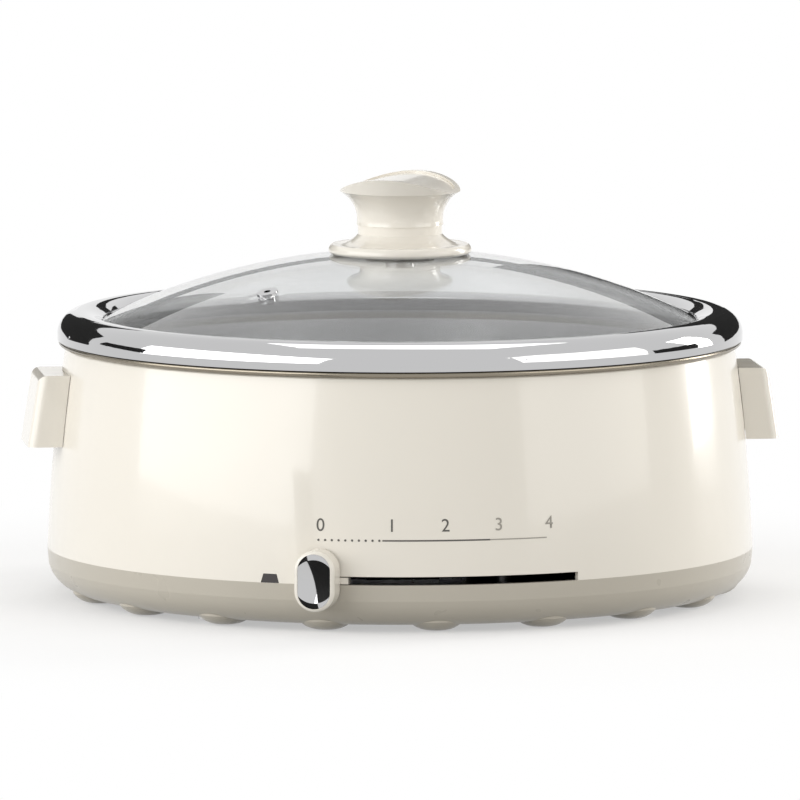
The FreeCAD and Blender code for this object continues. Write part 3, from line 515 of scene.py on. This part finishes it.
def facing_pot(lamp, place):
    """Put a lamp at a place and turn its face to the pot's middle."""
    lamp.location = place
    way = LAMP_AIM - Vector(place)
    lamp.rotation_euler = way.to_track_quat("-Z", "Y").to_euler()
    bpy.context.collection.objects.link(lamp)


def round_pot(angle_degrees, reach, height):
    """A place by its angle from the front, its distance from the axis and its height."""
    angle = math.radians(angle_degrees)
    return (math.sin(angle) * reach, -math.cos(angle) * reach, height)


def softbox(name, place, width, tall, power, colour=COOL_WHITE):
    light = bpy.data.lights.new(name, "AREA")
    light.shape = "RECTANGLE"
    light.size = width
    light.size_y = tall
    light.energy = power
    light.color = colour
    facing_pot(bpy.data.objects.new(name, light), place)


softbox("key_window", round_pot(-68, 2.0, 0.75), width=2.8, tall=1.4, power=33)
softbox("fill_window", round_pot(112, 1.9, 0.6), width=0.5, tall=1.1, power=15, colour=WARM_WHITE)
softbox("right_panel", round_pot(58, 2.0, 0.7), width=1.9, tall=1.3, power=12, colour=WARM_WHITE)
softbox("top_panel", (0.1, 0.4, 1.9), width=1.2, tall=1.0, power=7)
print("lamps:", [light.name for light in bpy.data.lights])

# %% [markdown]
# ## Black cards for the chrome
# In an all-white room polished metal looks like grey paint. Photographers stand black cards
# round it, which it mirrors as crisp dark edges. These cards show only in reflections.

# %% Black cards
card_finish, _ = new_finish("black_card", grey(0.01), 0.9)
CARD_REACH, BACK_REACH = 1.4, 2.0


def black_card(name, corners):
    mesh = bpy.data.meshes.new(name)
    mesh.from_pydata(corners, [], [(0, 1, 2, 3)])
    mesh.materials.append(card_finish)
    card = bpy.data.objects.new(name, mesh)
    bpy.context.collection.objects.link(card)
    card.visible_camera = False
    card.visible_diffuse = False
    card.visible_transmission = False
    card.visible_shadow = False


def standing_card(name, start, stop, reach, low, high):
    """An upright card between two angles from the front."""
    black_card(name, [round_pot(start, reach, low), round_pot(stop, reach, low),
                      round_pot(stop, reach, high), round_pot(start, reach, high)])


standing_card("left_card", -174, -132, CARD_REACH, low=0.14, high=0.75)
standing_card("left_strip", -122, -98, CARD_REACH, low=0.3, high=0.5)
standing_card("right_card", 128, 168, CARD_REACH, low=0.14, high=0.6)
standing_card("right_strip", 84, 108, CARD_REACH, low=0.22, high=0.42)
standing_card("back_strip", 150, 200, BACK_REACH, low=0.46, high=0.6)
print("cards:", [mesh.name for mesh in bpy.data.meshes if card_finish.name in mesh.materials])

# %% [markdown]
# ## A card for the slider's face
# The chrome in the slider is dished, so it shrinks all that stands before it. A card that leans
# from the table up and away, wide below and narrow above, shows in it as a dark drop.

# %% The leaning card
face_low, face_high = (Vector(corner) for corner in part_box("slider_insert"))
face_middle = (face_low + face_high) / 2
DROP_FOOT, DROP_TOP = (0.03, 0.001), (0.13, 0.085)


def before_slider(angle_degrees, reach, height):
    """A place by its direction and distance from the middle of the slider's chrome face."""
    angle = math.radians(angle_degrees)
    return (face_middle.x + math.sin(angle) * reach,
            face_middle.y - math.cos(angle) * reach, height)


black_card("drop_card", [before_slider(-24, *DROP_FOOT), before_slider(-56, *DROP_FOOT),
                         before_slider(-50, *DROP_TOP), before_slider(-40, *DROP_TOP)])
print("slider face middle:", [round(value, 4) for value in face_middle])

# %% [markdown]
# ## Camera
# The photograph was taken from far off with a long lens, a little above the lid and a little
# to the left of the pot's front. A far camera with a long lens keeps its upright sides upright.

# %% Camera at the photograph's view
CAMERA_TURN = math.radians(6.5)
CAMERA_RISE = math.radians(6.0)
CAMERA_FAR = 6.0
VIEW_WIDE = 0.3752
SENSOR_WIDE = 36
SEEN_TO = 50
AIM = Vector((0, 0, 0.0905))
camera_data = bpy.data.cameras.new("camera")
camera = bpy.data.objects.new("camera", camera_data)
bpy.context.collection.objects.link(camera)
bpy.context.scene.camera = camera
outwards = Vector((-math.sin(CAMERA_TURN) * math.cos(CAMERA_RISE),
                   -math.cos(CAMERA_TURN) * math.cos(CAMERA_RISE), math.sin(CAMERA_RISE)))
camera.location = AIM + outwards * CAMERA_FAR
camera.rotation_euler = (-outwards).to_track_quat("-Z", "Y").to_euler()
camera_data.sensor_width = SENSOR_WIDE
camera_data.lens = camera_data.sensor_width * CAMERA_FAR / VIEW_WIDE
camera_data.clip_end = SEEN_TO
bpy.context.scene.view_settings.view_transform = "Standard"
print("lens:", round(camera_data.lens), "mm")
